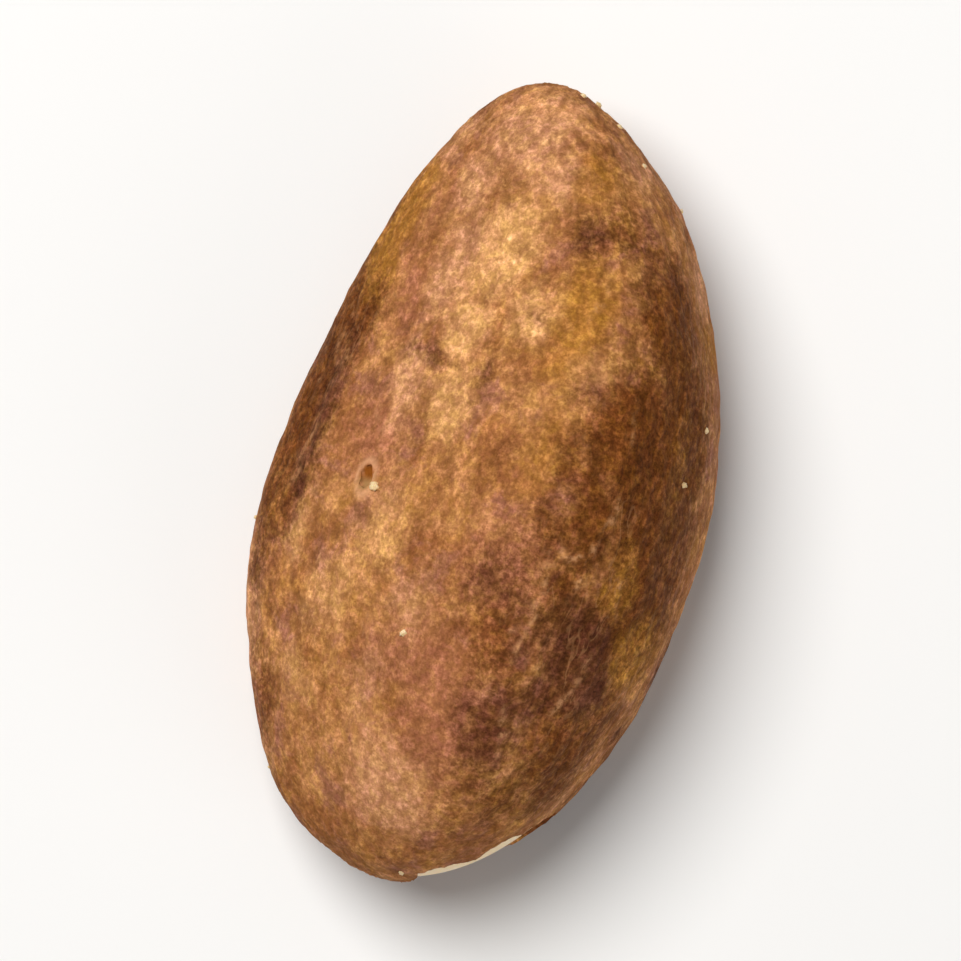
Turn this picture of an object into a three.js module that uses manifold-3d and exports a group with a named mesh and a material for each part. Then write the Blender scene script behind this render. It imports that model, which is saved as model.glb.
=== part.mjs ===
// A shelled Brazil nut in its thin brown skin, lying on its flattest face.
// It is one solid: a plump wedge with three blunt ridges, a chip of skin torn off beside its broad end, a
// little pit in the skin, and a small flat on the underside that it rests on.
// Sizes are in millimetres. +Y runs along the nut to its narrow end, +Z is up, and the origin is on the
// surface it rests on, under the middle of its outline.
import * as THREE from "three";
import { mergeVertices } from "three/addons/utils/BufferGeometryUtils.js";
import Module from "manifold-3d";

// Driving dimensions
const LENGTH = 38;
const WIDTH = 20.8;
const HEIGHT = 16;
const SKIN_THICKNESS = 0.2;
const REST_FLAT_DEPTH = 0.12;

// Outline from above. A station runs from -1 at the broad end to 1 at the narrow end.
const FULLNESS = 0.553;
const TAPER = 0.107;
const MIDLINE_CUBIC = [0.18, 0.61, -1.15, -1.27];
const END_DROOP = 1.5;

// Cross-section: a rounded triangle whose top leans towards +X, and which gets rounder towards the ends
const THREE_SIDEDNESS = 0.145;
const RIDGE_LEAN = 0.22;
const END_ROUNDING = 0.3;

// Dents (negative) and swellings of the surface. Each is centred some way along the nut and at an angle
// round it, counted in degrees from +X towards +Z, and fades out over its reach across and lengthways.
const RELIEF = [
  { along: -5.6, around: 72, across: 0.9, lengthways: 1.9, height: -0.34 }, // furrow beside the upper ridge
  { along: -9.2, around: 69, across: 1.0, lengthways: 1.8, height: -0.38 }, // the furrow's lower end
  { along: -4.5, around: 94, across: 0.9, lengthways: 4.6, height: 0.14 }, // upper ridge, left of the furrow
  { along: -8.0, around: 43, across: 1.5, lengthways: 5.0, height: 0.14 }, // low rib right of the furrow
  { along: 5.5, around: 145, across: 3.4, lengthways: 6.0, height: -0.12 }, // flat on the straighter side
  { along: 13.2, around: 90, across: 2.2, lengthways: 2.6, height: -0.2 }, // hollow behind the narrow tip
  { along: 1.5, around: 172, across: 0.8, lengthways: 7.0, height: 0.12 }, // crest of the straighter side
  { along: -11.5, around: 192, across: 2.6, lengthways: 3.4, height: -0.42 }, // flattened corner beside it
  { along: 6.5, around: 196, across: 2.4, lengthways: 4.0, height: -0.2 }, // the straight stretch above it
  { along: 2.0, around: 5, across: 2.2, lengthways: 4.5, height: -0.18 }, // slack stretch of the outer side
  { along: 10.5, around: 11, across: 2.2, lengthways: 3.0, height: -0.14 }, // and another near the tip
  { along: 3.0, around: 246, across: 1.0, lengthways: 8.5, height: -0.28 }, // groove along the underside
  { along: 8.0, around: 322, across: 2.6, lengthways: 4.5, height: 0.18 }, // swelling on the lower ridge
];

// Slow waves that keep the surface from being too regular, with their waves in radians per millimetre
const WAVES = [
  { rate: [0.31, 0.19, 0.22], phase: 0.7, height: 0.09 },
  { rate: [-0.42, 0.33, 0.37], phase: 2.9, height: 0.06 },
  { rate: [0.15, -0.58, 0.61], phase: 4.4, height: 0.05 },
];

// Where the skin is lost, on the side of the broad end
const TEAR = { along: -17.05, around: 10, halfWidth: 3.95, halfHeight: 2.2, squareness: 2.3, corners: 44 };
const TEAR_TEETH = [
  { count: 2, phase: -2.6, depth: 0.05 },
  { count: 5, phase: 2.75, depth: 0.13 },
  { count: 11, phase: 0, depth: 0.02 },
];
const PIT = { along: -1.05, around: 151.4, halfLength: 0.6, halfWidth: 0.38, depth: 0.42 };
const TOOL_DEPTH = 3;

const SPHERE_DETAIL = 20; // makes 8,820 triangles
const SECTION_STEPS = 180;
const CENTRE = new THREE.Vector3(0, 0, 0);
const UP = new THREE.Vector3(0, 0, 1);

const wasm = await Module();
wasm.setup();

// Height and width of the nut at a station, as a share of its fullest
function swell(station) {
  return Math.max(1 - station ** 2, 0) ** FULLNESS * (1 - TAPER * station);
}

function midline(station) {
  return MIDLINE_CUBIC.reduce((sum, factor, power) => sum + factor * station ** power, 0);
}

function axisHeight(station) {
  return HEIGHT / 2 - REST_FLAT_DEPTH - END_DROOP * station ** 2;
}

// The leaning, rounded triangle, before its width is set
function rawSection(angle, sidedness) {
  const z = Math.sin(angle) - 2 * sidedness * Math.cos(angle) ** 2;
  const x = Math.cos(angle) * (1 - 2 * sidedness * Math.sin(angle)) + RIDGE_LEAN * z;
  return { x, z };
}

// The same section with x running from -1 to 1
function section(angle, station) {
  const sidedness = THREE_SIDEDNESS * Math.max(1 - station ** 2, 0) ** END_ROUNDING;
  let left = 0;
  let right = 0;
  for (let i = 0; i < SECTION_STEPS; i += 1) {
    const { x } = rawSection((2 * Math.PI * i) / SECTION_STEPS, sidedness);
    left = Math.min(left, x);
    right = Math.max(right, x);
  }
  const { x, z } = rawSection(angle, sidedness);
  return { x: (2 * x - left - right) / (right - left), z };
}

// A point of the smooth form, drawn in by `inset` all over
function formPoint(station, angle, inset = 0) {
  const across = section(angle, station);
  return new THREE.Vector3(
    midline(station) + (WIDTH / 2 - inset) * swell(station) * across.x,
    (LENGTH / 2 - inset) * station,
    axisHeight(station) + (HEIGHT / 2 - inset) * swell(station) * across.z,
  );
}

// Straight out of the nut at a point of the form, near enough
function outward({ x, y, z }, station) {
  const sideways = (x - midline(station)) / WIDTH ** 2;
  const upward = (z - axisHeight(station)) / HEIGHT ** 2;
  return new THREE.Vector3(sideways, y / LENGTH ** 2, upward).normalize();
}

function reliefHeight(point) {
  let height = 0;
  for (const spot of RELIEF) {
    const centre = formPoint((2 * spot.along) / LENGTH, THREE.MathUtils.degToRad(spot.around));
    const sideways = Math.hypot(point.x - centre.x, point.z - centre.z) / spot.across;
    const lengthways = (point.y - centre.y) / spot.lengthways;
    height += spot.height * Math.exp(-(sideways ** 2 + lengthways ** 2) / 2);
  }
  for (const wave of WAVES) {
    height += wave.height * Math.sin(point.dot(new THREE.Vector3(...wave.rate)) + wave.phase);
  }
  return height;
}

function surfacePoint(station, angle, inset = 0) {
  const onForm = formPoint(station, angle);
  return formPoint(station, angle, inset).addScaledVector(outward(onForm, station), reliefHeight(onForm));
}

function merged(geometry) {
  geometry.deleteAttribute("normal");
  geometry.deleteAttribute("uv");
  return mergeVertices(geometry);
}

function solidOf(geometry) {
  const vertProperties = geometry.attributes.position.array;
  const triVerts = new Uint32Array(geometry.index.array);
  return new wasm.Manifold(new wasm.Mesh({ numProp: 3, vertProperties, triVerts }));
}

// The whole nut, `inset` inside its skin
function nutSolid(inset) {
  const ball = merged(new THREE.IcosahedronGeometry(1, SPHERE_DETAIL));
  const place = ball.attributes.position;
  for (let i = 0; i < place.count; i += 1) {
    const station = THREE.MathUtils.clamp(place.getY(i), -1, 1);
    const point = surfacePoint(station, Math.atan2(place.getZ(i), place.getX(i)), inset);
    place.setXYZ(i, point.x, point.y, point.z);
  }
  return solidOf(ball);
}

// Stands a tool on the surface, with the tool's own +Z pointing out of the nut and its +X level
function stoodOnNut(geometry, { along, around }) {
  const station = (2 * along) / LENGTH;
  const foot = surfacePoint(station, THREE.MathUtils.degToRad(around));
  const placing = new THREE.Matrix4().lookAt(outward(foot, station), CENTRE, UP).setPosition(foot);
  return solidOf(merged(geometry).applyMatrix4(placing));
}

// How far the lost skin's ragged outline, a rounded oblong with uneven teeth, is from its middle
function tearReach(angle) {
  const { halfWidth, halfHeight, squareness } = TEAR;
  const across = Math.abs(Math.cos(angle) / halfWidth) ** squareness;
  const upward = Math.abs(Math.sin(angle) / halfHeight) ** squareness;
  const teeth = TEAR_TEETH.map(({ count, phase, depth }) => depth * Math.sin(count * angle + phase));
  return (across + upward) ** (-1 / squareness) * teeth.reduce((sum, tooth) => sum + tooth, 1);
}

function tearTool() {
  const outline = new THREE.Shape();
  for (let i = 0; i < TEAR.corners; i += 1) {
    const angle = (2 * Math.PI * i) / TEAR.corners;
    const corner = new THREE.Vector2(Math.cos(angle), Math.sin(angle)).multiplyScalar(tearReach(angle));
    if (i === 0) {
      outline.moveTo(corner.x, corner.y);
    } else {
      outline.lineTo(corner.x, corner.y);
    }
  }
  const prism = new THREE.ExtrudeGeometry(outline, { depth: 2 * TOOL_DEPTH, bevelEnabled: false });
  return stoodOnNut(prism.translate(0, 0, -TOOL_DEPTH), TEAR);
}

function pitTool() {
  const hollow = new THREE.SphereGeometry(1, 10, 8).scale(PIT.halfLength, PIT.halfWidth, PIT.depth);
  return stoodOnNut(hollow, PIT);
}

// Everything below the surface that the nut rests on
function floorTool() {
  const slab = new THREE.BoxGeometry(2 * LENGTH, 2 * LENGTH, LENGTH);
  return solidOf(merged(slab.translate(0, 0, -LENGTH / 2)));
}

// The relief changes the overall size a little, so the finished solid is brought back to it
function fittedToSize(solid) {
  const { min, max } = solid.boundingBox();
  const centred = solid.translate([-(min[0] + max[0]) / 2, -(min[1] + max[1]) / 2, -min[2]]);
  return centred.scale([WIDTH / (max[0] - min[0]), LENGTH / (max[1] - min[1]), HEIGHT / (max[2] - min[2])]);
}

function kernelGeometry() {
  const skinned = nutSolid(0).subtract(tearTool());
  const kernel = skinned.add(nutSolid(SKIN_THICKNESS)).subtract(pitTool()).subtract(floorTool());
  const { vertProperties, triVerts } = fittedToSize(kernel).getMesh();
  const geometry = new THREE.BufferGeometry();
  geometry.setAttribute("position", new THREE.BufferAttribute(vertProperties, 3));
  geometry.setIndex(new THREE.BufferAttribute(triVerts, 1));
  geometry.computeVertexNormals();
  return geometry;
}

const brownSkin = new THREE.MeshStandardMaterial({ color: 0x9a6539, roughness: 0.62, metalness: 0 });
const kernel = new THREE.Mesh(kernelGeometry(), brownSkin);
kernel.name = "kernel";

const nut = new THREE.Group();
nut.add(kernel);

export default nut;
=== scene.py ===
"""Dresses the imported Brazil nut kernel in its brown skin, on a pale floor in soft light.

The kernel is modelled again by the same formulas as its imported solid, with far more points. It then gets
what is too fine for that solid: the skin's lumps, threads, crinkles and veins, its curled lip where it is
torn, the pit's rim and a few crumbs.

A place on the nut is given in millimetres along it, from its middle to the narrow end, and degrees round
it. A place in its plan is given in millimetres right of its middle and forward to the narrow end. The
formulas work in millimetres, and the finished mesh is in metres.
"""
import functools
import math
import random

import bmesh
import bpy
from mathutils import Matrix, Vector, kdtree, noise


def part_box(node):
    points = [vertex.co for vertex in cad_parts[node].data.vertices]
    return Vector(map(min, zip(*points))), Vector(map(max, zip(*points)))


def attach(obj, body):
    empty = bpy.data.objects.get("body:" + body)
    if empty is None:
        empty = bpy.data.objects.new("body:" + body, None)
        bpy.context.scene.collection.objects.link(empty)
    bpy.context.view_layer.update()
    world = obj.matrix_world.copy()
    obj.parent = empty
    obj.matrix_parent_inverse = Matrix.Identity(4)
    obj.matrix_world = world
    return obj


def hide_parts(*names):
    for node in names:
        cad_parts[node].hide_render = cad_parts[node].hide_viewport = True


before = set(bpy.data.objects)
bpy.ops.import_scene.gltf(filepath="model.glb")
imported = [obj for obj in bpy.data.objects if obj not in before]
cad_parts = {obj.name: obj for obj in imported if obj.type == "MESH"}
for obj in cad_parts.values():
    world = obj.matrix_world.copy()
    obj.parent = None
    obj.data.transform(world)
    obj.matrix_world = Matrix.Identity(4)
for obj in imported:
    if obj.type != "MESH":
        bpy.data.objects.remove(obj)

# Without a seed, noise vectors would change from run to run
SWIRL_SEED = 4
noise.seed_set(SWIRL_SEED)

MM = 0.001
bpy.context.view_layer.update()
box_low, box_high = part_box("kernel")
WIDTH, LENGTH, HEIGHT = ((high - low) / MM for low, high in zip(box_low, box_high))

# The form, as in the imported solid
SKIN_THICKNESS = 0.2
REST_FLAT_DEPTH = 0.12
FULLNESS = 0.553
TAPER = 0.107
MIDLINE_CUBIC = (0.18, 0.61, -1.15, -1.27)
END_DROOP = 1.5
THREE_SIDEDNESS = 0.145
RIDGE_LEAN = 0.22
END_ROUNDING = 0.3
SECTION_STEPS = 180
UPPER_DEGREES = range(8, 188)

# Dents and swellings: millimetres along the nut, degrees round it, reach across and lengthways, and height
RELIEF = (
    (-5.6, 72, 0.9, 1.9, -0.34),
    (-9.2, 69, 1.0, 1.8, -0.38),
    (-4.5, 94, 0.9, 4.6, 0.14),
    (-8.0, 43, 1.5, 5.0, 0.14),
    (5.5, 145, 3.4, 6.0, -0.12),
    (13.2, 90, 2.2, 2.6, -0.2),
    (1.5, 172, 0.8, 7.0, 0.12),
    (-11.5, 192, 2.6, 3.4, -0.42),
    (6.5, 196, 2.4, 4.0, -0.2),
    (2.0, 5, 2.2, 4.5, -0.18),
    (10.5, 11, 2.2, 3.0, -0.14),
    (3.0, 246, 1.0, 8.5, -0.28),
    (8.0, 322, 2.6, 4.5, 0.18),
)
# Slow waves: radians per millimetre on each axis, phase and height
WAVES = (
    ((0.31, 0.19, 0.22), 0.7, 0.09),
    ((-0.42, 0.33, 0.37), 2.9, 0.06),
    ((0.15, -0.58, 0.61), 4.4, 0.05),
)

# The torn skin: place, half width and half height, and the teeth of its edge (count, phase, depth)
TEAR_ALONG, TEAR_AROUND = -17.05, 10
TEAR_HALF_WIDTH, TEAR_HALF_HEIGHT = 3.95, 2.2
TEAR_SQUARENESS = 2.3
TEAR_TEETH = ((2, -2.6, 0.05), (5, 2.75, 0.13), (11, 0, 0.02))
TEAR_CORNERS = 240
TEAR_FINE_TEETH = 0.1
LIP_HEIGHT = 0.05
LIP_REACH = 0.3
LIP_WAVE_SIZE = 0.9
TOOL_DEPTH = 3

# The pit in the skin, longer than it is wide, with a pale rim
PIT_ALONG, PIT_AROUND = -1.05, 151.4
PIT_HALF_LENGTH, PIT_HALF_WIDTH = 0.6, 0.38
PIT_DEPTH = 0.42
PIT_UNEVENNESS = 0.3
RIM_HEIGHT = 0.06
RIM_MIDDLE = 1.35
RIM_REACH = 0.35

SHARP_FOLD = math.radians(60)
ROWS_LENGTHWAYS = 182
ROWS_ACROSS = 94

# The skin's fine relief, in millimetres: size and height of its lumps, and width, length and height of its
# grain
LUMPS = ((2.9, 0.11), (1.25, 0.055), (0.6, 0.025))
GRAIN = ((0.7, 1.25, 0.04), (0.4, 0.65, 0.03))
THREAD_SPACING = (1.5, 3.4)
THREAD_HEIGHT = 0.045
CRINKLE_SPACING = (1.5, 3.2)
CRINKLE_DEPTH = 0.07
CRINKLE_SHIFT = Vector((7, 3, 5))
TIP_WRINKLE_SPACING = (2.4, 0.75)
TIP_WRINKLE_HEIGHT = 0.05
TIP_STATIONS = (0.5, 0.9)
LINE_SHARE = 0.26
# Relief height at which the painted shade in the skin's dips and the painted light on its rises are full
SHADED_RELIEF = 0.075
LEAST_FULLNESS = 0.12

# Swirls that lines and edges wander in: size and reach
GRAIN_SWIRLS = ((1.8, 0.45),)
VEIN_SWIRLS = ((0.9, 0.25), (0.5, 0.1))
BLOTCH_SWIRLS = ((2.6, 0.7), (1.0, 0.5))

# Where the skin is crinkled: place in the plan, reach across and lengthways, and strength
CRINKLED = (
    ((5.2, -6.8), 2.0, 4.4, 1.0),
    ((5.9, -0.5), 1.3, 3.0, 0.7),
    ((-8.5, 3.0), 1.1, 6.5, 0.8),
    ((-8.6, -5.0), 0.9, 4.5, 0.5),
    ((4.6, -12.6), 1.8, 1.9, 0.8),
    ((0.9, 13.0), 1.2, 2.2, 0.5),
)

# Raised veins, each a line of places in the plan
VEINS = (
    ((5.9, 1.6), (5.8, 0.2), (5.6, -1.0), (5.2, -2.9), (5.0, -4.5)),
    ((3.6, -1.9), (3.4, -3.4), (3.6, -5.0), (3.1, -7.0), (2.9, -8.2)),
    ((3.4, -1.9), (4.2, -2.1), (5.3, -2.0)),
    ((6.7, -5.6), (6.5, -7.2), (5.8, -8.8), (5.4, -9.6)),
    ((3.1, -9.2), (3.6, -10.4), (3.5, -11.6), (3.4, -12.8)),
    ((7.3, -1.2), (7.0, -3.0), (7.2, -4.6)),
    ((8.4, -7.7), (9.1, -7.8)),
    ((-8.0, 4.6), (-8.3, 3.0), (-8.5, 1.6)),
    ((-8.3, 1.0), (-8.6, 0.0), (-8.9, -1.5), (-9.1, -2.6)),
    ((-3.4, 14.0), (-4.3, 12.4), (-5.1, 11.0)),
    ((4.3, -7.7), (4.5, -7.3)),
    ((2.4, -5.9), (2.8, -6.0)),
)
VEIN_HALF_WIDTH = 0.17
VEIN_HEIGHT = 0.055
VEIN_BEAD = 0.5
VEIN_POINT_SPACING = 0.1
STRAY_VEINS = 34
STRAY_VEIN_STEP = 0.4

# Blotches of the upper side: kind, place in the plan, reach across and lengthways, and strength
BLOTCH_KINDS = ("brown_and_shade", "ochre", "pale", "rosy", "blush", "plum_and_shade")
BLOTCHES = (
    # The brown blotches over the right face, right of 6 mm, are partly the skin's own brown and partly
    # painted shade
    ("brown_and_shade", (6.5, 8.9), 1.6, 3.2, 1.2),
    ("brown_and_shade", (6.2, 3.6), 1.7, 3.2, 1.2),
    ("brown_and_shade", (8.2, 3.0), 2.4, 5.5, 1.2),
    ("brown_and_shade", (8.4, -2.1), 2.2, 3.6, 1.4),
    ("brown_and_shade", (3.8, 12.6), 1.4, 2.0, 0.55),
    ("brown_and_shade", (3.4, 1.9), 0.9, 1.5, 0.8),
    ("brown_and_shade", (4.8, -0.4), 1.3, 2.8, 0.9),
    ("brown_and_shade", (7.7, -0.6), 1.1, 2.2, 1.3),
    ("brown_and_shade", (3.2, -1.6), 1.1, 1.9, 0.8),
    ("brown_and_shade", (4.4, -3.6), 1.2, 1.6, 0.8),
    ("brown_and_shade", (2.0, -5.4), 1.3, 2.4, 0.7),
    ("brown_and_shade", (6.7, -11.0), 2.0, 3.2, 0.9),
    ("brown_and_shade", (4.4, -13.8), 1.8, 1.8, 0.6),
    ("brown_and_shade", (1.9, -15.4), 1.0, 1.0, 0.4),
    # The brown blotches along the left edge are partly the skin's own brown and partly painted shade
    ("brown_and_shade", (-9.4, 3.0), 1.1, 6.5, 1.3),
    ("brown_and_shade", (-10.4, -5.0), 0.6, 6.0, 0.7),
    ("brown_and_shade", (-8.2, -12.6), 1.3, 3.0, 0.7),
    ("brown_and_shade", (-8.0, 6.4), 1.0, 2.0, 1.0),
    ("ochre", (-7.3, 11.0), 1.2, 2.8, 1.3),
    ("ochre", (1.0, 15.2), 0.9, 1.4, 0.9),
    ("ochre", (2.1, 8.6), 1.2, 2.6, 1.1),
    ("ochre", (1.9, 2.6), 1.1, 2.8, 0.6),
    ("ochre", (7.1, -2.7), 0.6, 1.2, 1.1),
    ("ochre", (8.4, -5.8), 1.6, 1.5, 1.1),
    ("ochre", (8.4, 3.0), 0.9, 2.6, 0.5),
    ("pale", (-2.4, 10.6), 1.7, 2.2, 0.9),
    ("pale", (-3.0, 6.9), 1.1, 1.1, 1.1),
    ("pale", (-2.9, 3.4), 1.2, 1.4, 1.1),
    ("pale", (-0.3, 8.2), 1.1, 1.4, 0.9),
    ("pale", (3.0, 6.3), 0.8, 1.0, 0.5),
    ("pale", (-4.6, -3.8), 1.6, 1.8, 0.6),
    ("pale", (-6.0, -6.6), 1.4, 1.8, 0.7),
    ("pale", (-8.2, -4.2), 0.9, 2.2, 0.6),
    ("pale", (-6.6, -10.8), 1.0, 1.6, 0.5),
    ("rosy", (-5.6, 12.4), 0.9, 2.4, 0.7),
    ("rosy", (-6.0, 7.6), 0.9, 1.6, 0.9),
    ("rosy", (-6.0, 1.2), 1.5, 1.8, 0.8),
    ("rosy", (1.2, -3.2), 2.0, 2.4, 0.7),
    ("rosy", (-1.4, -8.4), 2.4, 1.6, 1.0),
    ("rosy", (0.8, -11.0), 2.0, 2.4, 1.0),
    ("blush", (-2.4, 16.4), 2.2, 2.0, 0.9),
    ("blush", (-0.8, 14.6), 1.4, 1.0, 0.8),
    ("blush", (-4.4, 9.6), 1.1, 2.2, 0.9),
    ("blush", (-4.4, 13.4), 1.1, 1.6, 0.8),
    ("blush", (-4.9, 4.0), 1.0, 2.2, 0.8),
    ("blush", (-6.2, 15.6), 1.0, 2.0, 0.7),
    ("blush", (3.2, 15.8), 1.0, 1.0, 0.7),
    ("blush", (-1.1, -14.5), 1.8, 2.2, 0.9),
    ("blush", (-3.4, -10.8), 1.4, 1.6, 0.5),
    ("blush", (-4.4, -1.4), 0.8, 1.0, 0.7),
    ("blush", (-2.2, -6.0), 1.2, 1.8, 0.6),
    ("plum_and_shade", (1.7, 12.2), 0.9, 1.5, 0.65),
    ("plum_and_shade", (-0.1, 7.9), 0.5, 0.4, 0.6),
    ("plum_and_shade", (-4.4, 5.2), 1.5, 0.6, 0.6),
    ("plum_and_shade", (-1.5, 5.1), 0.5, 0.8, 0.7),
    ("plum_and_shade", (-8.4, 1.8), 0.9, 3.2, 0.9),
    ("plum_and_shade", (-8.7, -1.6), 0.6, 2.0, 0.9),
    # Painted shade along the far left edge
    ("plum_and_shade", (-10.3, -4.5), 0.45, 5.0, 0.4),
    ("plum_and_shade", (2.8, 5.1), 0.9, 0.4, 0.35),
    ("plum_and_shade", (0.9, -4.0), 1.1, 1.2, 0.5),
    ("plum_and_shade", (5.8, -6.0), 1.3, 1.4, 1.4),
    ("plum_and_shade", (6.4, -7.5), 1.2, 1.2, 1.4),
    ("plum_and_shade", (4.9, -8.8), 1.3, 1.0, 0.8),
    ("plum_and_shade", (2.8, -10.9), 1.2, 2.0, 0.9),
)
STRAY_BLOTCHES = 60
UNDERSIDE = (192, 375)

# Crumbs stuck to the skin: place in the plan and radius
CRUMBS = (
    ((-5.24, -1.36), 0.22),
    ((-2.1, -7.45), 0.14),
    ((0.7, -18.3), 0.12),
    ((8.85, 2.4), 0.15),
    ((9.1, 5.1), 0.13),
    ((-0.5, 18.7), 0.14),
    ((0.3, 18.5), 0.18),
    ((1.5, 17.7), 0.13),
    ((3.1, 16.2), 0.12),
)
STRAY_CRUMBS = 7
CRUMB_UNEVENNESS = 0.5
CRUMB_LIFT = 0.2


def smooth(low, high, value):
    """0 below low, 1 above high, and an easy curve between them."""
    share = min(max((value - low) / (high - low), 0), 1)
    return share * share * (3 - 2 * share)


# The smooth form

def swell(station):
    """How full the nut is at a station, which runs from -1 at the broad end to 1 at the narrow one."""
    return max(1 - station ** 2, 0) ** FULLNESS * (1 - TAPER * station)


def midline(station):
    return sum(factor * station ** power for power, factor in enumerate(MIDLINE_CUBIC))


def axis_height(station):
    return HEIGHT / 2 - REST_FLAT_DEPTH - END_DROOP * station ** 2


def raw_section(angle, sidedness):
    """The leaning, rounded triangle of the cross-section, before its width is set."""
    z = math.sin(angle) - 2 * sidedness * math.cos(angle) ** 2
    x = math.cos(angle) * (1 - 2 * sidedness * math.sin(angle)) + RIDGE_LEAN * z
    return x, z


@functools.lru_cache(maxsize=None)
def section_edges(sidedness):
    across = [raw_section(math.tau * i / SECTION_STEPS, sidedness)[0] for i in range(SECTION_STEPS)]
    return min(across), max(across)


def section(angle, station):
    """The cross-section at a station, with x running from -1 to 1."""
    sidedness = THREE_SIDEDNESS * max(1 - station ** 2, 0) ** END_ROUNDING
    left, right = section_edges(round(sidedness, 4))
    x, z = raw_section(angle, sidedness)
    return (2 * x - left - right) / (right - left), z


def form_point(station, angle, inset=0):
    x, z = section(angle, station)
    return Vector((
        midline(station) + (WIDTH / 2 - inset) * swell(station) * x,
        (LENGTH / 2 - inset) * station,
        axis_height(station) + (HEIGHT / 2 - inset) * swell(station) * z,
    ))


def outward(point, station):
    """Straight out of the nut at a point of the form, near enough."""
    sideways = (point.x - midline(station)) / WIDTH ** 2
    upward = (point.z - axis_height(station)) / HEIGHT ** 2
    return Vector((sideways, point.y / LENGTH ** 2, upward)).normalized()


def on_form(along, around):
    """The point of the form at a place in millimetres along and degrees round."""
    return form_point(2 * along / LENGTH, math.radians(around))


@functools.lru_cache(maxsize=None)
def in_plan(place):
    """The point of the form's upper side at a place in its plan."""
    right, forward = place
    points = [on_form(forward, degrees) for degrees in UPPER_DEGREES]
    return min(points, key=lambda point: abs(point.x - right))


def fading(gap, across, lengthways):
    """1 at no gap, falling to 0 over its reach across the nut and lengthways."""
    spread = ((gap.x ** 2 + gap.z ** 2) / across ** 2 + (gap.y / lengthways) ** 2) / 2
    return math.exp(-spread) if spread < 9 else 0


RELIEF_CENTRES = [on_form(along, around) for along, around, *rest in RELIEF]


def relief_height(point):
    height = 0
    for centre, (along, around, across, lengthways, rise) in zip(RELIEF_CENTRES, RELIEF):
        height += rise * fading(point - centre, across, lengthways)
    for rate, phase, rise in WAVES:
        height += rise * math.sin(point.dot(Vector(rate)) + phase)
    return height


# The fine surface of the skin

def grain_place(point):
    """Coordinates in which a line from end to end of the nut is straight, in millimetres at its middle."""
    station = max(-1, min(2 * point.y / LENGTH, 1))
    fullness = max(swell(station), LEAST_FULLNESS)
    return Vector((
        (point.x - midline(station)) / fullness,
        LENGTH * math.asin(station) / math.pi,
        (point.z - axis_height(station)) / fullness,
    ))


def stretched(place, across, lengthways):
    """A place for noise whose features are this many millimetres across and lengthways."""
    return Vector((place.x / across, place.y / lengthways, place.z / across))


def swirled(point, swirls):
    """The point pushed about in each of the swirls in turn."""
    for size, reach in swirls:
        point = point + reach * noise.noise_vector(point / size)
    return point


def line_share(place):
    """1 along thin wandering lines, and 0 beyond their sides."""
    return max(0, 1 - abs(noise.noise(place)) / LINE_SHARE)


def stray_vein(draw):
    """A vein that wanders lengthways from a random place."""
    angle = draw.uniform(0, math.tau)
    station = draw.uniform(-0.9, 0.75)
    turning = draw.uniform(-0.02, 0.02)
    line = []
    for step in range(draw.randint(8, 26)):
        line.append(form_point(station, angle))
        turning = 0.8 * turning + draw.uniform(-0.012, 0.012)
        angle += turning
        station = min(station + STRAY_VEIN_STEP / LENGTH, 0.97)
    return line


def vein_points():
    """Points closely spaced along every vein, each with the share of its full height."""
    draw = random.Random(41)
    lines = [([in_plan(place) for place in vein], 1) for vein in VEINS]
    lines += [(stray_vein(draw), draw.uniform(0.25, 0.7)) for _ in range(STRAY_VEINS)]
    points = []
    for line, strength in lines:
        reach = len(line) - 1
        for i, (start, end) in enumerate(zip(line, line[1:])):
            count = max(2, int((end - start).length / VEIN_POINT_SPACING))
            for step in range(count):
                along = (i + step / count) / reach
                ends = min(1, 4 * along, 4 * (1 - along))
                points.append((start.lerp(end, step / count), strength * ends))
    return points


VEIN_POINTS = vein_points()
VEIN_TREE = kdtree.KDTree(len(VEIN_POINTS))
for index, (vein_point, _) in enumerate(VEIN_POINTS):
    VEIN_TREE.insert(vein_point, index)
VEIN_TREE.balance()


def vein_share(point):
    """How much of a vein's height a point has. Veins are a little beaded."""
    _, index, gap = VEIN_TREE.find(swirled(point, VEIN_SWIRLS))
    if gap > 3 * VEIN_HALF_WIDTH:
        return 0
    bead = smooth(-0.4, 0.35, noise.noise(point / VEIN_BEAD))
    return VEIN_POINTS[index][1] * bead * math.exp(-(gap / VEIN_HALF_WIDTH) ** 2)


def crinkled_share(point):
    return max(strength * fading(point - in_plan(place), across, lengthways)
               for place, across, lengthways, strength in CRINKLED)


def fine_height(point):
    """Height of the grain, threads, crinkles, wrinkles and veins at a point of the form."""
    grain = grain_place(swirled(point, GRAIN_SWIRLS))
    height = sum(rise * noise.noise(stretched(grain, across, lengthways))
                 for across, lengthways, rise in GRAIN)
    height += THREAD_HEIGHT * line_share(stretched(grain, *THREAD_SPACING))
    crinkled = crinkled_share(point)
    if crinkled > 0.02:
        shifted = stretched(grain, *CRINKLE_SPACING) + CRINKLE_SHIFT
        height -= CRINKLE_DEPTH * crinkled * line_share(shifted)
    at_tip = smooth(*TIP_STATIONS, 2 * point.y / LENGTH)
    if at_tip:
        height += TIP_WRINKLE_HEIGHT * at_tip * noise.noise(stretched(point, *TIP_WRINKLE_SPACING))
    return height + VEIN_HEIGHT * vein_share(point)


def skin_height(point):
    lumps = sum(rise * noise.noise(point / size) for size, rise in LUMPS)
    return lumps + fine_height(point)


def standing_on_nut(along, around):
    """The matrix of a frame that stands on the surface, with +Z pointing out of the nut and +X level."""
    station = 2 * along / LENGTH
    point = on_form(along, around)
    foot = point + outward(point, station) * relief_height(point)
    out = outward(foot, station)
    level = Vector((0, 0, 1)).cross(out).normalized()
    turned = Matrix((level, out.cross(level), out)).transposed().to_4x4()
    return Matrix.Translation(foot) @ turned


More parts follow.
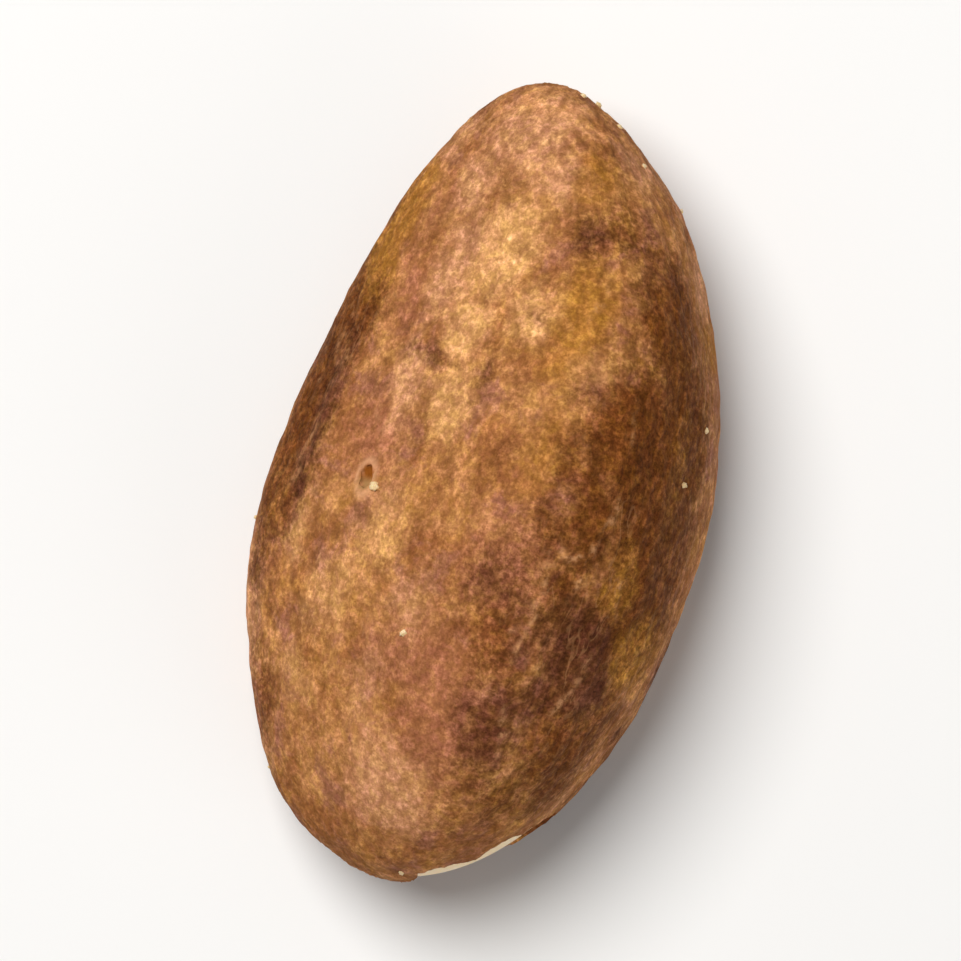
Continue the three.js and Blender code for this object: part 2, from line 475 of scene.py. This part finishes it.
def tear_reach(angle):
    """How far the torn edge is from the tear's middle, in a direction."""
    across = abs(math.cos(angle) / TEAR_HALF_WIDTH) ** TEAR_SQUARENESS
    upward = abs(math.sin(angle) / TEAR_HALF_HEIGHT) ** TEAR_SQUARENESS
    teeth = sum(depth * math.sin(count * angle + phase) for count, phase, depth in TEAR_TEETH)
    ragged = noise.noise(Vector((9 * math.cos(angle), 9 * math.sin(angle), 0)))
    return (across + upward) ** (-1 / TEAR_SQUARENESS) * (1 + teeth) + TEAR_FINE_TEETH * ragged


TEAR_STAND = standing_on_nut(TEAR_ALONG, TEAR_AROUND)
TEAR_STAND_BACK = TEAR_STAND.inverted()
PIT_STAND = standing_on_nut(PIT_ALONG, PIT_AROUND)
PIT_STAND_BACK = PIT_STAND.inverted()


def lip_height(point):
    """The skin curls up a little where it is torn."""
    place = TEAR_STAND_BACK @ point
    if abs(place.z) > TOOL_DEPTH:
        return 0
    gap = math.hypot(place.x, place.y) - tear_reach(math.atan2(place.y, place.x))
    waves = 0.6 + 0.8 * noise.noise(point / LIP_WAVE_SIZE)
    return LIP_HEIGHT * math.exp(-max(gap, 0) / LIP_REACH) * waves


def pit_gap(point):
    """Distance from the line down the middle of the pit: 1 at its edge, and more outside it."""
    place = PIT_STAND_BACK @ point
    if abs(place.z) > TOOL_DEPTH:
        return math.inf
    return math.hypot(place.x / PIT_HALF_LENGTH, place.y / PIT_HALF_WIDTH)


def rim_share(point):
    """1 along the rim of the pit, falling to 0 inside and outside."""
    return math.exp(-((pit_gap(point) - RIM_MIDDLE) / RIM_REACH) ** 2)


def dusty_share(point):
    """1 at the pit's end towards the broad end of the nut, and 0 at its other end."""
    return smooth(-0.2, 0.3, (PIT_STAND_BACK @ point).x)


# Modelling

def cut_across(bm, axis, cuts):
    """Cuts every edge of the cube that runs along an axis into equal lengths."""
    along = [edge for edge in bm.edges if abs((edge.verts[1].co - edge.verts[0].co)[axis]) > 1e-6]
    bmesh.ops.subdivide_edges(bm, edges=along, cuts=cuts, use_grid_fill=True)


def ball_mesh():
    """A ball of unit radius with even four-sided faces."""
    bm = bmesh.new()
    bmesh.ops.create_cube(bm, size=2)
    cut_across(bm, 1, ROWS_LENGTHWAYS)
    cut_across(bm, 0, ROWS_ACROSS)
    cut_across(bm, 2, ROWS_ACROSS)
    for vert in bm.verts:
        vert.co = Vector(math.tan(share * math.pi / 4) for share in vert.co).normalized()
    return bm


def shaped(bm, inset, detailed):
    """Moves the ball's points onto the nut, and stores where on the form each belongs."""
    origin = bm.verts.layers.float_vector.new("origin")
    for vert in bm.verts:
        station = max(-1, min(vert.co.y, 1))
        angle = math.atan2(vert.co.z, vert.co.x)
        point = form_point(station, angle)
        height = relief_height(point)
        if detailed:
            height += skin_height(point) + lip_height(point) + RIM_HEIGHT * rim_share(point)
        vert.co = form_point(station, angle, inset) + outward(point, station) * height
        vert[origin] = point
    return bm


def object_of(bm, name, material_index=0):
    """An object of the mesh, with one of the nut's materials all over."""
    mesh = bpy.data.meshes.new(name)
    bm.to_mesh(mesh)
    bm.free()
    for material in (SKIN, FLESH, CRUMB):
        mesh.materials.append(material)
    for face in mesh.polygons:
        face.material_index = material_index
    made = bpy.data.objects.new(name, mesh)
    bpy.context.scene.collection.objects.link(made)
    return made


def tear_tool():
    bm = bmesh.new()
    bmesh.ops.create_circle(bm, cap_ends=True, segments=TEAR_CORNERS, radius=1)
    for vert in bm.verts:
        vert.co *= tear_reach(math.atan2(vert.co.y, vert.co.x))
        vert.co.z = -TOOL_DEPTH
    grown = bmesh.ops.extrude_face_region(bm, geom=bm.faces[:])
    raised = [part for part in grown["geom"] if isinstance(part, bmesh.types.BMVert)]
    bmesh.ops.translate(bm, verts=raised, vec=(0, 0, 2 * TOOL_DEPTH))
    bmesh.ops.recalc_face_normals(bm, faces=bm.faces)
    bmesh.ops.transform(bm, matrix=TEAR_STAND, verts=bm.verts)
    return object_of(bm, "tear tool")


def pit_tool():
    bm = bmesh.new()
    bmesh.ops.create_icosphere(bm, subdivisions=4, radius=1)
    for vert in bm.verts:
        vert.co *= 1 + PIT_UNEVENNESS * noise.noise(1.6 * vert.co)
    reach = Matrix.Diagonal((PIT_HALF_LENGTH, PIT_HALF_WIDTH, PIT_DEPTH, 1))
    bmesh.ops.transform(bm, matrix=PIT_STAND @ reach, verts=bm.verts)
    return object_of(bm, "pit tool")


def crumb(bm, point, radius, seed):
    """An uneven crumb, sunk a little in the skin."""
    station = 2 * point.y / LENGTH
    out = outward(point, station)
    foot = point + out * (relief_height(point) + skin_height(point) + CRUMB_LIFT * radius)
    turned = out.to_track_quat("Z", "Y").to_matrix().to_4x4()
    reach = Matrix.Diagonal((radius, 1.25 * radius, 0.75 * radius, 1))
    added = bmesh.ops.create_icosphere(bm, subdivisions=3, radius=1)["verts"]
    for vert in added:
        vert.co *= 1 + CRUMB_UNEVENNESS * noise.noise(1.7 * vert.co + Vector((seed, 0, 0)))
    bmesh.ops.transform(bm, matrix=Matrix.Translation(foot) @ turned @ reach, verts=added)


def crumbs():
    draw = random.Random(23)
    bm = bmesh.new()
    for seed, (place, radius) in enumerate(CRUMBS):
        crumb(bm, in_plan(place), radius, seed)
    for seed in range(STRAY_CRUMBS):
        point = form_point(draw.uniform(-0.85, 0.9), math.radians(draw.uniform(*UNDERSIDE)))
        crumb(bm, point, draw.uniform(0.07, 0.12), seed)
    return object_of(bm, "crumbs", 2)


def combine(body, tool, operation):
    """Joins the tool to the body, or cuts it away, and removes the tool."""
    step = body.modifiers.new(operation.lower(), "BOOLEAN")
    step.operation = operation
    step.object = tool
    step.solver = "MANIFOLD"
    evaluated = body.evaluated_get(bpy.context.evaluated_depsgraph_get())
    combined = bpy.data.meshes.new_from_object(evaluated)
    body.modifiers.clear()
    body.data = combined
    bpy.data.objects.remove(tool)


def fit_to_solid(body):
    """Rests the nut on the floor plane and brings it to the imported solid's exact box."""
    bm = bmesh.new()
    bm.from_mesh(body.data)
    for vert in bm.verts:
        vert.co.z = max(vert.co.z, 0)
    low = Vector(min(vert.co[axis] for vert in bm.verts) for axis in range(3))
    high = Vector(max(vert.co[axis] for vert in bm.verts) for axis in range(3))
    bmesh.ops.translate(bm, verts=bm.verts, vec=-low)
    scale = [(box_high[axis] - box_low[axis]) / (high - low)[axis] for axis in range(3)]
    bmesh.ops.scale(bm, verts=bm.verts, vec=scale)
    bmesh.ops.translate(bm, verts=bm.verts, vec=box_low)
    for face in bm.faces:
        face.smooth = True
    for edge in bm.edges:
        edge.smooth = edge.calc_face_angle(0) < SHARP_FOLD
    bm.to_mesh(body.data)
    bm.free()


def blotch_places():
    """Every blotch's kind, point of the form, reaches and strength. The stray ones are on the underside."""
    draw = random.Random(8)
    places = [(kind, in_plan(place), *rest) for kind, place, *rest in BLOTCHES]
    for _ in range(STRAY_BLOTCHES):
        point = form_point(draw.uniform(-0.92, 0.92), math.radians(draw.uniform(*UNDERSIDE)))
        size = draw.uniform(0.6, 2.0)
        places.append((draw.choice(BLOTCH_KINDS), point, size, size * draw.uniform(0.8, 2.2),
                       draw.uniform(0.6, 1.0)))
    return places


BLOTCH_PLACES = blotch_places()


def blotch_shares(point):
    """How strongly each kind of blotch shows at a point, with wandering edges."""
    wandered = swirled(point, BLOTCH_SWIRLS)
    shares = dict.fromkeys(BLOTCH_KINDS, 0)
    for kind, centre, across, lengthways, strength in BLOTCH_PLACES:
        share = strength * fading(wandered - centre, across, lengthways)
        shares[kind] = max(shares[kind], share)
    return shares


def marked(body):
    """Stores what the materials read at each point: the grain, relief, veins, pit and kinds of blotch."""
    bm = bmesh.new()
    bm.from_mesh(body.data)
    origin = bm.verts.layers.float_vector["origin"]
    grain = bm.verts.layers.float_vector.new("grain")
    for name in ("raised", "crinkled", "vein", "hollow", "dusty", "rim") + BLOTCH_KINDS:
        bm.verts.layers.float.new(name)
    layer = bm.verts.layers.float
    for vert in bm.verts:
        point = vert[origin]
        if not point.length:
            point = vert.co / MM
        vert[grain] = grain_place(point)
        vert[layer["raised"]] = fine_height(point) / SHADED_RELIEF
        vert[layer["crinkled"]] = crinkled_share(point)
        vert[layer["vein"]] = vein_share(point)
        vert[layer["hollow"]] = 1 - smooth(0.8, 1.15, pit_gap(point))
        vert[layer["dusty"]] = dusty_share(point)
        vert[layer["rim"]] = rim_share(point)
        for kind, share in blotch_shares(point).items():
            vert[layer[kind]] = share
    bm.verts.layers.float_vector.remove(origin)
    bm.to_mesh(body.data)
    bm.free()


def kernel():
    body = object_of(shaped(ball_mesh(), 0, True), "kernel_skin")
    combine(body, tear_tool(), "DIFFERENCE")
    combine(body, object_of(shaped(ball_mesh(), SKIN_THICKNESS, False), "flesh", 1), "UNION")
    combine(body, pit_tool(), "DIFFERENCE")
    combine(body, crumbs(), "UNION")
    fit_to_solid(body)
    marked(body)
    return body


# Materials

def add_node(tree, kind, inputs=None, **settings):
    """Adds a node, with a value or a link for each input that is named or numbered."""
    made = tree.nodes.new(kind)
    for setting, value in settings.items():
        setattr(made, setting, value)
    for key, value in (inputs or {}).items():
        if isinstance(value, bpy.types.NodeSocket):
            tree.links.new(value, made.inputs[key])
        else:
            made.inputs[key].default_value = value
    return made


def attribute(tree, name, output="Fac"):
    return add_node(tree, "ShaderNodeAttribute", attribute_name=name).outputs[output]


def calculate(tree, operation, first, second=0.0, third=0.0):
    return add_node(tree, "ShaderNodeMath", {0: first, 1: second, 2: third}, operation=operation).outputs[0]


def between(tree, value, low, high, least=0.0, most=1.0):
    """The least where the value is below low, the most above high, and an easy curve between them."""
    inputs = {"Value": value, "From Min": low, "From Max": high, "To Min": least, "To Max": most}
    return add_node(tree, "ShaderNodeMapRange", inputs, interpolation_type="SMOOTHSTEP").outputs[0]


def mixed(tree, share, under, over, way="MIX"):
    inputs = {0: share, 6: under, 7: over}
    return add_node(tree, "ShaderNodeMix", inputs, data_type="RGBA", blend_type=way).outputs[2]


def shaded(tree, colour, value, low, high, dark, light):
    """The colour multiplied by dark where the value is low and by light where it is high."""
    return mixed(tree, 1.0, colour, mixed(tree, between(tree, value, low, high), dark, light), "MULTIPLY")


def cloud(tree, place, size, detail=4.0, roughness=0.55, distortion=0.0):
    """Noise with features of about this size, in the place's own unit."""
    inputs = {"Vector": place, "Scale": 1 / size, "Detail": detail, "Roughness": roughness,
              "Distortion": distortion}
    return add_node(tree, "ShaderNodeTexNoise", inputs).outputs["Fac"]


def swirled_grain(tree, grain, size, reach):
    swirl = add_node(tree, "ShaderNodeTexNoise", {"Vector": grain, "Scale": 1 / size, "Detail": 1.0})
    inputs = {0: swirl.outputs["Color"], 1: (reach, reach, reach), 2: grain}
    return add_node(tree, "ShaderNodeVectorMath", inputs, operation="MULTIPLY_ADD").outputs[0]


def scaled(tree, place, across, lengthways):
    factors = (1 / across, 1 / lengthways, 1 / across)
    return add_node(tree, "ShaderNodeMapping", {"Vector": place, "Scale": factors}).outputs[0]


def thin_lines(tree, grain, across, lengthways, fineness):
    """Thin curves that wander mostly lengthways and come and go."""
    place = scaled(tree, swirled_grain(tree, grain, 1.8, 0.7), across, lengthways)
    gap = calculate(tree, "ABSOLUTE", calculate(tree, "SUBTRACT", cloud(tree, place, 1.0, 2.0), 0.5))
    line = between(tree, gap, 0.0, fineness, 1.0, 0.0)
    shown = between(tree, cloud(tree, place, 1.7, 2.0), 0.46, 0.6)
    return calculate(tree, "MULTIPLY", line, shown)


TAN = (0.57, 0.25, 0.08, 1)
BROWN = (0.36, 0.132, 0.039, 1)
GOLD = (0.50, 0.212, 0.047, 1)
MAUVE = (0.38, 0.145, 0.078, 1)
# The brown and plum tints also paint shade where their blotches lie along the left edge and over the right
# face
TINTS = {
    "brown_and_shade": (0.185, 0.054, 0.008, 1),
    "ochre": (0.43, 0.175, 0.028, 1),
    "pale": (0.77, 0.38, 0.135, 1),
    "rosy": (0.40, 0.145, 0.062, 1),
    "blush": (0.66, 0.305, 0.135, 1),
    "plum_and_shade": (0.145, 0.044, 0.017, 1),
}
THREAD_TAN = (0.50, 0.235, 0.10, 1)
VEIN_TAN = (0.72, 0.36, 0.16, 1)
# Painted shade in the skin's creases
CREASE_SHADE = (0.17, 0.052, 0.014, 1)
PIT_RUST = (0.30, 0.09, 0.012, 1)
PIT_DUST = (0.36, 0.20, 0.075, 1)
RIM_TAN = (0.80, 0.41, 0.21, 1)
CREAM = (0.98, 0.69, 0.36, 1)
PALE_CREAM = (0.99, 0.77, 0.50, 1)
# The crumbs' colours are the flesh's cream darkened: painted shade that keeps them from glaring in the key
# light
CRUMB_SHADED_CREAM = (0.70, 0.46, 0.21, 1)
CRUMB_SHADED_PALE = (0.80, 0.59, 0.32, 1)


# Sizes of the patterns in the skin's colour, in millimetres
PATCH_SIZE = 3.0
HUE_SIZE = 2.1
CLUMP_SIZE = 1.2
ROUGH_AREA_SIZE = 5
BLOTCH_EDGE_SIZE = 1.1
FINE_HUE_SIZE = 0.53
FINE_GRAIN_SIZE = 0.45
GRIT_SIZE = 0.2
VEIN_BREAK_SIZE = 0.3

# What the colour is multiplied by where a pattern is lowest and where it is highest
CLUMP_SHADES = ((0.77, 0.74, 0.74, 1), (1.42, 1.49, 1.54, 1))
# Painted shade in the relief's dips and painted light on its rises
PAINTED_RELIEF_SHADE_AND_LIGHT = ((0.80, 0.77, 0.74, 1), (1.22, 1.26, 1.30, 1))
FINE_HUE_SHADES = ((0.94, 1.0, 0.80, 1), (1.06, 1.0, 1.22, 1))
FINE_GRAIN_SHADES = ((0.58, 0.54, 0.50, 1), (1.18, 1.25, 1.35, 1))
GRIT_SHADES = ((0.56, 0.51, 0.45, 1), (1.23, 1.25, 1.31, 1))

GOLD_SHARE = 0.65
MAUVE_SHARE = 0.8
CREASE_SHADE_SHARE = 0.12
RIM_SHARE = 0.55
SMOOTHER_BROAD_END = (-12 * MM, -7 * MM)


def new_material(name):
    material = bpy.data.materials.new(name)
    material.use_nodes = True
    tree = material.node_tree
    place = add_node(tree, "ShaderNodeTexCoord").outputs["Object"]
    return material, tree, place, tree.nodes["Principled BSDF"]


def blotched(tree, place, colour):
    edge = calculate(tree, "SUBTRACT", cloud(tree, place, BLOTCH_EDGE_SIZE * MM, 5, 0.7), 0.5)
    for kind, tint in TINTS.items():
        share = calculate(tree, "MULTIPLY_ADD", edge, 0.8, attribute(tree, kind))
        colour = mixed(tree, between(tree, share, 0.12, 0.88, 0.0, 0.92), colour, tint)
    return colour


def base_colour(tree, place):
    """Brown and tan patches, tinged with gold and mauve."""
    patches = cloud(tree, place, PATCH_SIZE * MM, 6, 0.62, 0.4)
    colour = mixed(tree, between(tree, patches, 0.40, 0.66), BROWN, TAN)
    hues = cloud(tree, place, HUE_SIZE * MM, 6, 0.6, 0.5)
    colour = mixed(tree, between(tree, hues, 0.52, 0.68, 0.0, GOLD_SHARE), colour, GOLD)
    return mixed(tree, between(tree, hues, 0.48, 0.34, 0.0, MAUVE_SHARE), colour, MAUVE)


def clumped(tree, place, colour):
    """The colour in pale and dark clumps, which are weaker in some areas and at the broad end."""
    clumps = cloud(tree, place, CLUMP_SIZE * MM, 5, 0.6, 0.3)
    with_clumps = shaded(tree, colour, clumps, 0.38, 0.70, *CLUMP_SHADES)
    rough_areas = between(tree, cloud(tree, place, ROUGH_AREA_SIZE * MM, 3), 0.40, 0.60, 0.25, 1.0)
    along = add_node(tree, "ShaderNodeSeparateXYZ", {"Vector": place}).outputs["Y"]
    towards_tip = between(tree, along, *SMOOTHER_BROAD_END, 0.35, 1.0)
    return mixed(tree, calculate(tree, "MULTIPLY", rough_areas, towards_tip), colour, with_clumps)


def grained(tree, place, colour, fine_grain, grit):
    """The colour with its finest grain, which is strongest where the skin is dark."""
    darkened = calculate(tree, "ADD", attribute(tree, "brown_and_shade"), attribute(tree, "plum_and_shade"))
    coarseness = between(tree, darkened, 0.1, 0.7, 0.68, 0.93)
    fine_hues = cloud(tree, place, FINE_HUE_SIZE * MM, 4, 0.6, 0.6)
    with_grain = shaded(tree, colour, fine_hues, 0.36, 0.64, *FINE_HUE_SHADES)
    with_grain = shaded(tree, with_grain, fine_grain, 0.40, 0.70, *FINE_GRAIN_SHADES)
    with_grain = shaded(tree, with_grain, grit, 0.34, 0.66, *GRIT_SHADES)
    return mixed(tree, coarseness, colour, with_grain)


def lined(tree, place, grain, colour, creases):
    """The colour with painted shade in its creases, threads palest in the crinkles, and broken pale veins.
    """
    # Painted shade in the creases
    colour = mixed(tree, calculate(tree, "MULTIPLY", creases, CREASE_SHADE_SHARE), colour, CREASE_SHADE)
    crinkled = between(tree, attribute(tree, "crinkled"), 0.1, 0.7, 0.08, 0.3)
    threads = thin_lines(tree, scaled(tree, grain, 0.8, 0.8), 0.9, 1.8, 0.035)
    colour = mixed(tree, calculate(tree, "MULTIPLY", threads, crinkled), colour, THREAD_TAN)
    broken = between(tree, cloud(tree, place, VEIN_BREAK_SIZE * MM, 4, 0.65), 0.42, 0.58, 0.12, 0.65)
    return mixed(tree, calculate(tree, "MULTIPLY", attribute(tree, "vein"), broken), colour, VEIN_TAN)


def pitted(tree, colour):
    """The colour with the pit's pale rim, and rust and dust inside the pit."""
    colour = mixed(tree, calculate(tree, "MULTIPLY", attribute(tree, "rim"), RIM_SHARE), colour, RIM_TAN)
    inside = mixed(tree, attribute(tree, "dusty"), PIT_RUST, PIT_DUST)
    return mixed(tree, attribute(tree, "hollow"), colour, inside)


def skin_bump(tree, fine_grain, grit, creases):
    bumps = calculate(tree, "MULTIPLY_ADD", fine_grain, 1.6, grit)
    bumps = calculate(tree, "MULTIPLY_ADD", creases, -0.5, bumps)
    inputs = {"Height": bumps, "Strength": 0.4, "Distance": 0.08 * MM}
    return add_node(tree, "ShaderNodeBump", inputs).outputs[0]


def skin_material():
    material, tree, place, shader = new_material("brown skin")
    grain = attribute(tree, "grain", "Vector")
    fine_grain = cloud(tree, place, FINE_GRAIN_SIZE * MM, 4, 0.65)
    grit = cloud(tree, place, GRIT_SIZE * MM, 3, 0.7)
    creases = thin_lines(tree, grain, 0.9, 1.6, 0.06)

    colour = blotched(tree, place, base_colour(tree, place))
    colour = clumped(tree, place, colour)
    # Painted shade in the skin's dips and painted light on its rises
    colour = shaded(tree, colour, attribute(tree, "raised"), -1.0, 1.0, *PAINTED_RELIEF_SHADE_AND_LIGHT)
    colour = grained(tree, place, colour, fine_grain, grit)
    colour = pitted(tree, lined(tree, place, grain, colour, creases))
    tree.links.new(colour, shader.inputs["Base Color"])

    tree.links.new(between(tree, fine_grain, 0.3, 0.7, 0.72, 0.5), shader.inputs["Roughness"])
    shader.inputs["Specular IOR Level"].default_value = 0.03
    tree.links.new(skin_bump(tree, fine_grain, grit, creases), shader.inputs["Normal"])
    return material


def flesh_material(name, deeper, paler):
    material, tree, place, shader = new_material(name)
    mottle = cloud(tree, place, 1.4 * MM, 4, 0.6)
    tree.links.new(mixed(tree, between(tree, mottle, 0.3, 0.7), deeper, paler), shader.inputs["Base Color"])
    shader.inputs["Roughness"].default_value = 0.42
    shader.inputs["Subsurface Weight"].default_value = 0.25
    shader.inputs["Subsurface Radius"].default_value = (1.0, 0.7, 0.3)
    shader.inputs["Subsurface Scale"].default_value = 1.2 * MM
    bump = add_node(tree, "ShaderNodeBump", {"Height": cloud(tree, place, 0.3 * MM), "Distance": 0.03 * MM})
    tree.links.new(bump.outputs[0], shader.inputs["Normal"])
    return material


SKIN = skin_material()
FLESH = flesh_material("cream flesh", CREAM, PALE_CREAM)
# The crumbs are the flesh's cream darkened: painted shade
CRUMB = flesh_material("crumbs with painted shade", CRUMB_SHADED_CREAM, CRUMB_SHADED_PALE)


# Stage

FLOOR_HALF_WIDTH = 3
FLOOR_WHITE = (0.86, 0.85, 0.83, 1)
ROOM_STRENGTH = 0.2

# Lights: place by the photograph's right, up and height, and watts
KEY_LIGHT = ((-0.13, 0.17, 0.44), 2.5)
FILL_LIGHT = ((0.24, -0.2, 0.12), 0.25)
LIGHT_WIDTH = 0.3


def floor():
    bm = bmesh.new()
    bmesh.ops.create_grid(bm, x_segments=1, y_segments=1, size=FLOOR_HALF_WIDTH)
    mesh = bpy.data.meshes.new("floor")
    bm.to_mesh(mesh)
    bm.free()
    material, *_, shader = new_material("pale floor")
    shader.inputs["Base Color"].default_value = FLOOR_WHITE
    shader.inputs["Roughness"].default_value = 0.9
    mesh.materials.append(material)
    made = bpy.data.objects.new("floor", mesh)
    bpy.context.scene.collection.objects.link(made)


PHOTO_LEAN = math.radians(15.01)
MIDDLE = Vector((0, 0, HEIGHT / 2 * MM))


def in_photo(right, up, height):
    """A place in the nut's frame for one given by the photograph's right, up and height."""
    turned = Matrix.Rotation(PHOTO_LEAN, 3, "Z") @ Vector((right, up, 0))
    return Vector((turned.x, turned.y, height))


def soft_light(name, place, watts):
    place = in_photo(*place)
    data = bpy.data.lights.new(name, "AREA")
    data.shape = "DISK"
    data.size = LIGHT_WIDTH
    data.energy = watts
    lamp = bpy.data.objects.new(name, data)
    lamp.location = place
    lamp.rotation_mode = "QUATERNION"
    lamp.rotation_quaternion = (MIDDLE - place).to_track_quat("-Z", "Y")
    bpy.context.scene.collection.objects.link(lamp)


def surroundings():
    world = bpy.data.worlds.new("pale room")
    world.use_nodes = True
    background = world.node_tree.nodes["Background"]
    background.inputs["Color"].default_value = (1, 1, 1, 1)
    background.inputs["Strength"].default_value = ROOM_STRENGTH
    bpy.context.scene.world = world
    bpy.context.scene.view_settings.view_transform = "Standard"


# The square of the photograph that the picture shows enlarged, and where the nut is in it, in its pixels
NUT_LENGTH_PIXELS = 254.476
SQUARE_PIXELS = 300
SQUARE_MIDDLE = (630, 522)
NUT_MIDDLE = (633.1, 524)
OUTLINE_HEIGHT_SHARE = 0.42
LENS = 300
SENSOR = 36


def camera():
    data = bpy.data.cameras.new("camera")
    data.lens = LENS
    data.sensor_width = SENSOR
    data.clip_start = 0.01
    data.clip_end = 10
    made = bpy.data.objects.new("camera", data)
    pixel = LENGTH / NUT_LENGTH_PIXELS * MM
    right = (SQUARE_MIDDLE[0] - NUT_MIDDLE[0]) * pixel
    up = (NUT_MIDDLE[1] - SQUARE_MIDDLE[1]) * pixel
    aim = in_photo(right, up, 0)
    distance = SQUARE_PIXELS * pixel * LENS / SENSOR
    made.location = (aim.x, aim.y, OUTLINE_HEIGHT_SHARE * HEIGHT * MM + distance)
    made.rotation_euler = (0, 0, PHOTO_LEAN)
    bpy.context.scene.collection.objects.link(made)
    bpy.context.scene.camera = made


def main():
    made = kernel()
    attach(made, "root")
    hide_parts("kernel")
    floor()
    soft_light("key light", *KEY_LIGHT)
    soft_light("fill light", *FILL_LIGHT)
    surroundings()
    camera()


main()
